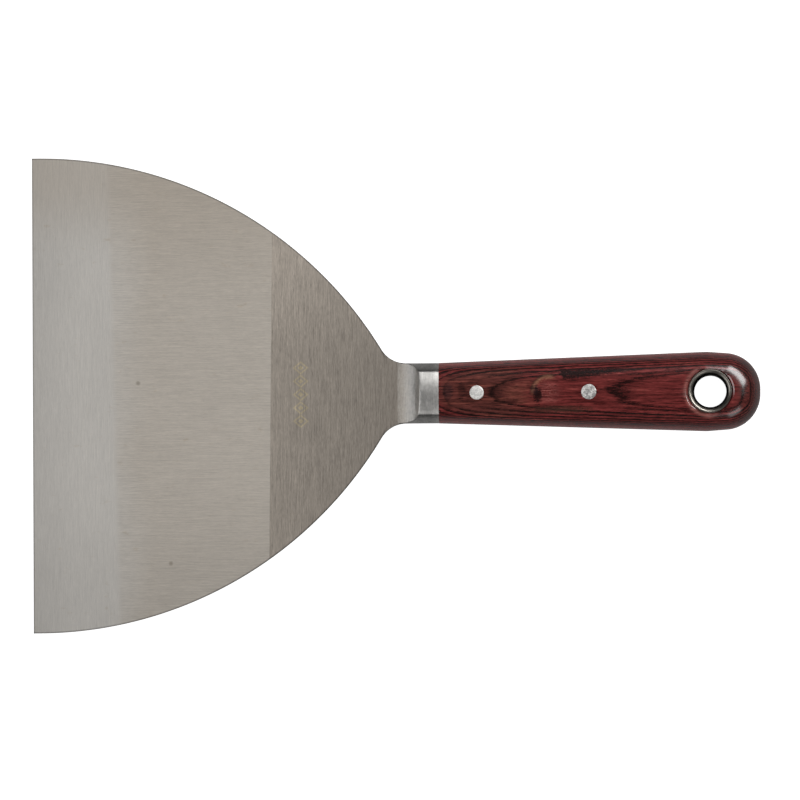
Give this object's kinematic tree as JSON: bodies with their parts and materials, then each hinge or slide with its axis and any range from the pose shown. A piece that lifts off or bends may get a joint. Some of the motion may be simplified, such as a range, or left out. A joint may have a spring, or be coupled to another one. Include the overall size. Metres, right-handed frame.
{
  "type": "drywall taping knife",
  "caption": "Fan-bladed taping knife with a hollow-ground blade, steel bolster, riveted laminated-wood handle and a hang hole.",
  "frame": {"origin": "centre of the hang hole, in the middle of the tang's thickness", "axes": "+X along the tool towards the working edge, +Y across the blade, +Z out of the front face along the hang hole"},
  "size_m": [0.306, 0.2, 0.0194],
  "materials": {
    "blade_steel": "fine-ground, three bands of grain",
    "bolster_steel": "satin-ground",
    "pakkawood": "red and black laminated wood, gloss lacquer",
    "rivet_aluminium": "sanded flush with the wood",
    "eyelet_gunmetal": "polished gunmetal plating"
  },
  "bodies": {
    "root": {"blade": "blade_steel", "bolster_cheek_front": "bolster_steel", "bolster_cheek_back": "bolster_steel", "handle_scale_front": "pakkawood", "handle_scale_back": "pakkawood", "rivet_fore": "rivet_aluminium", "rivet_aft": "rivet_aluminium", "hang_eyelet": "eyelet_gunmetal"}
  },
  "joints": []
}
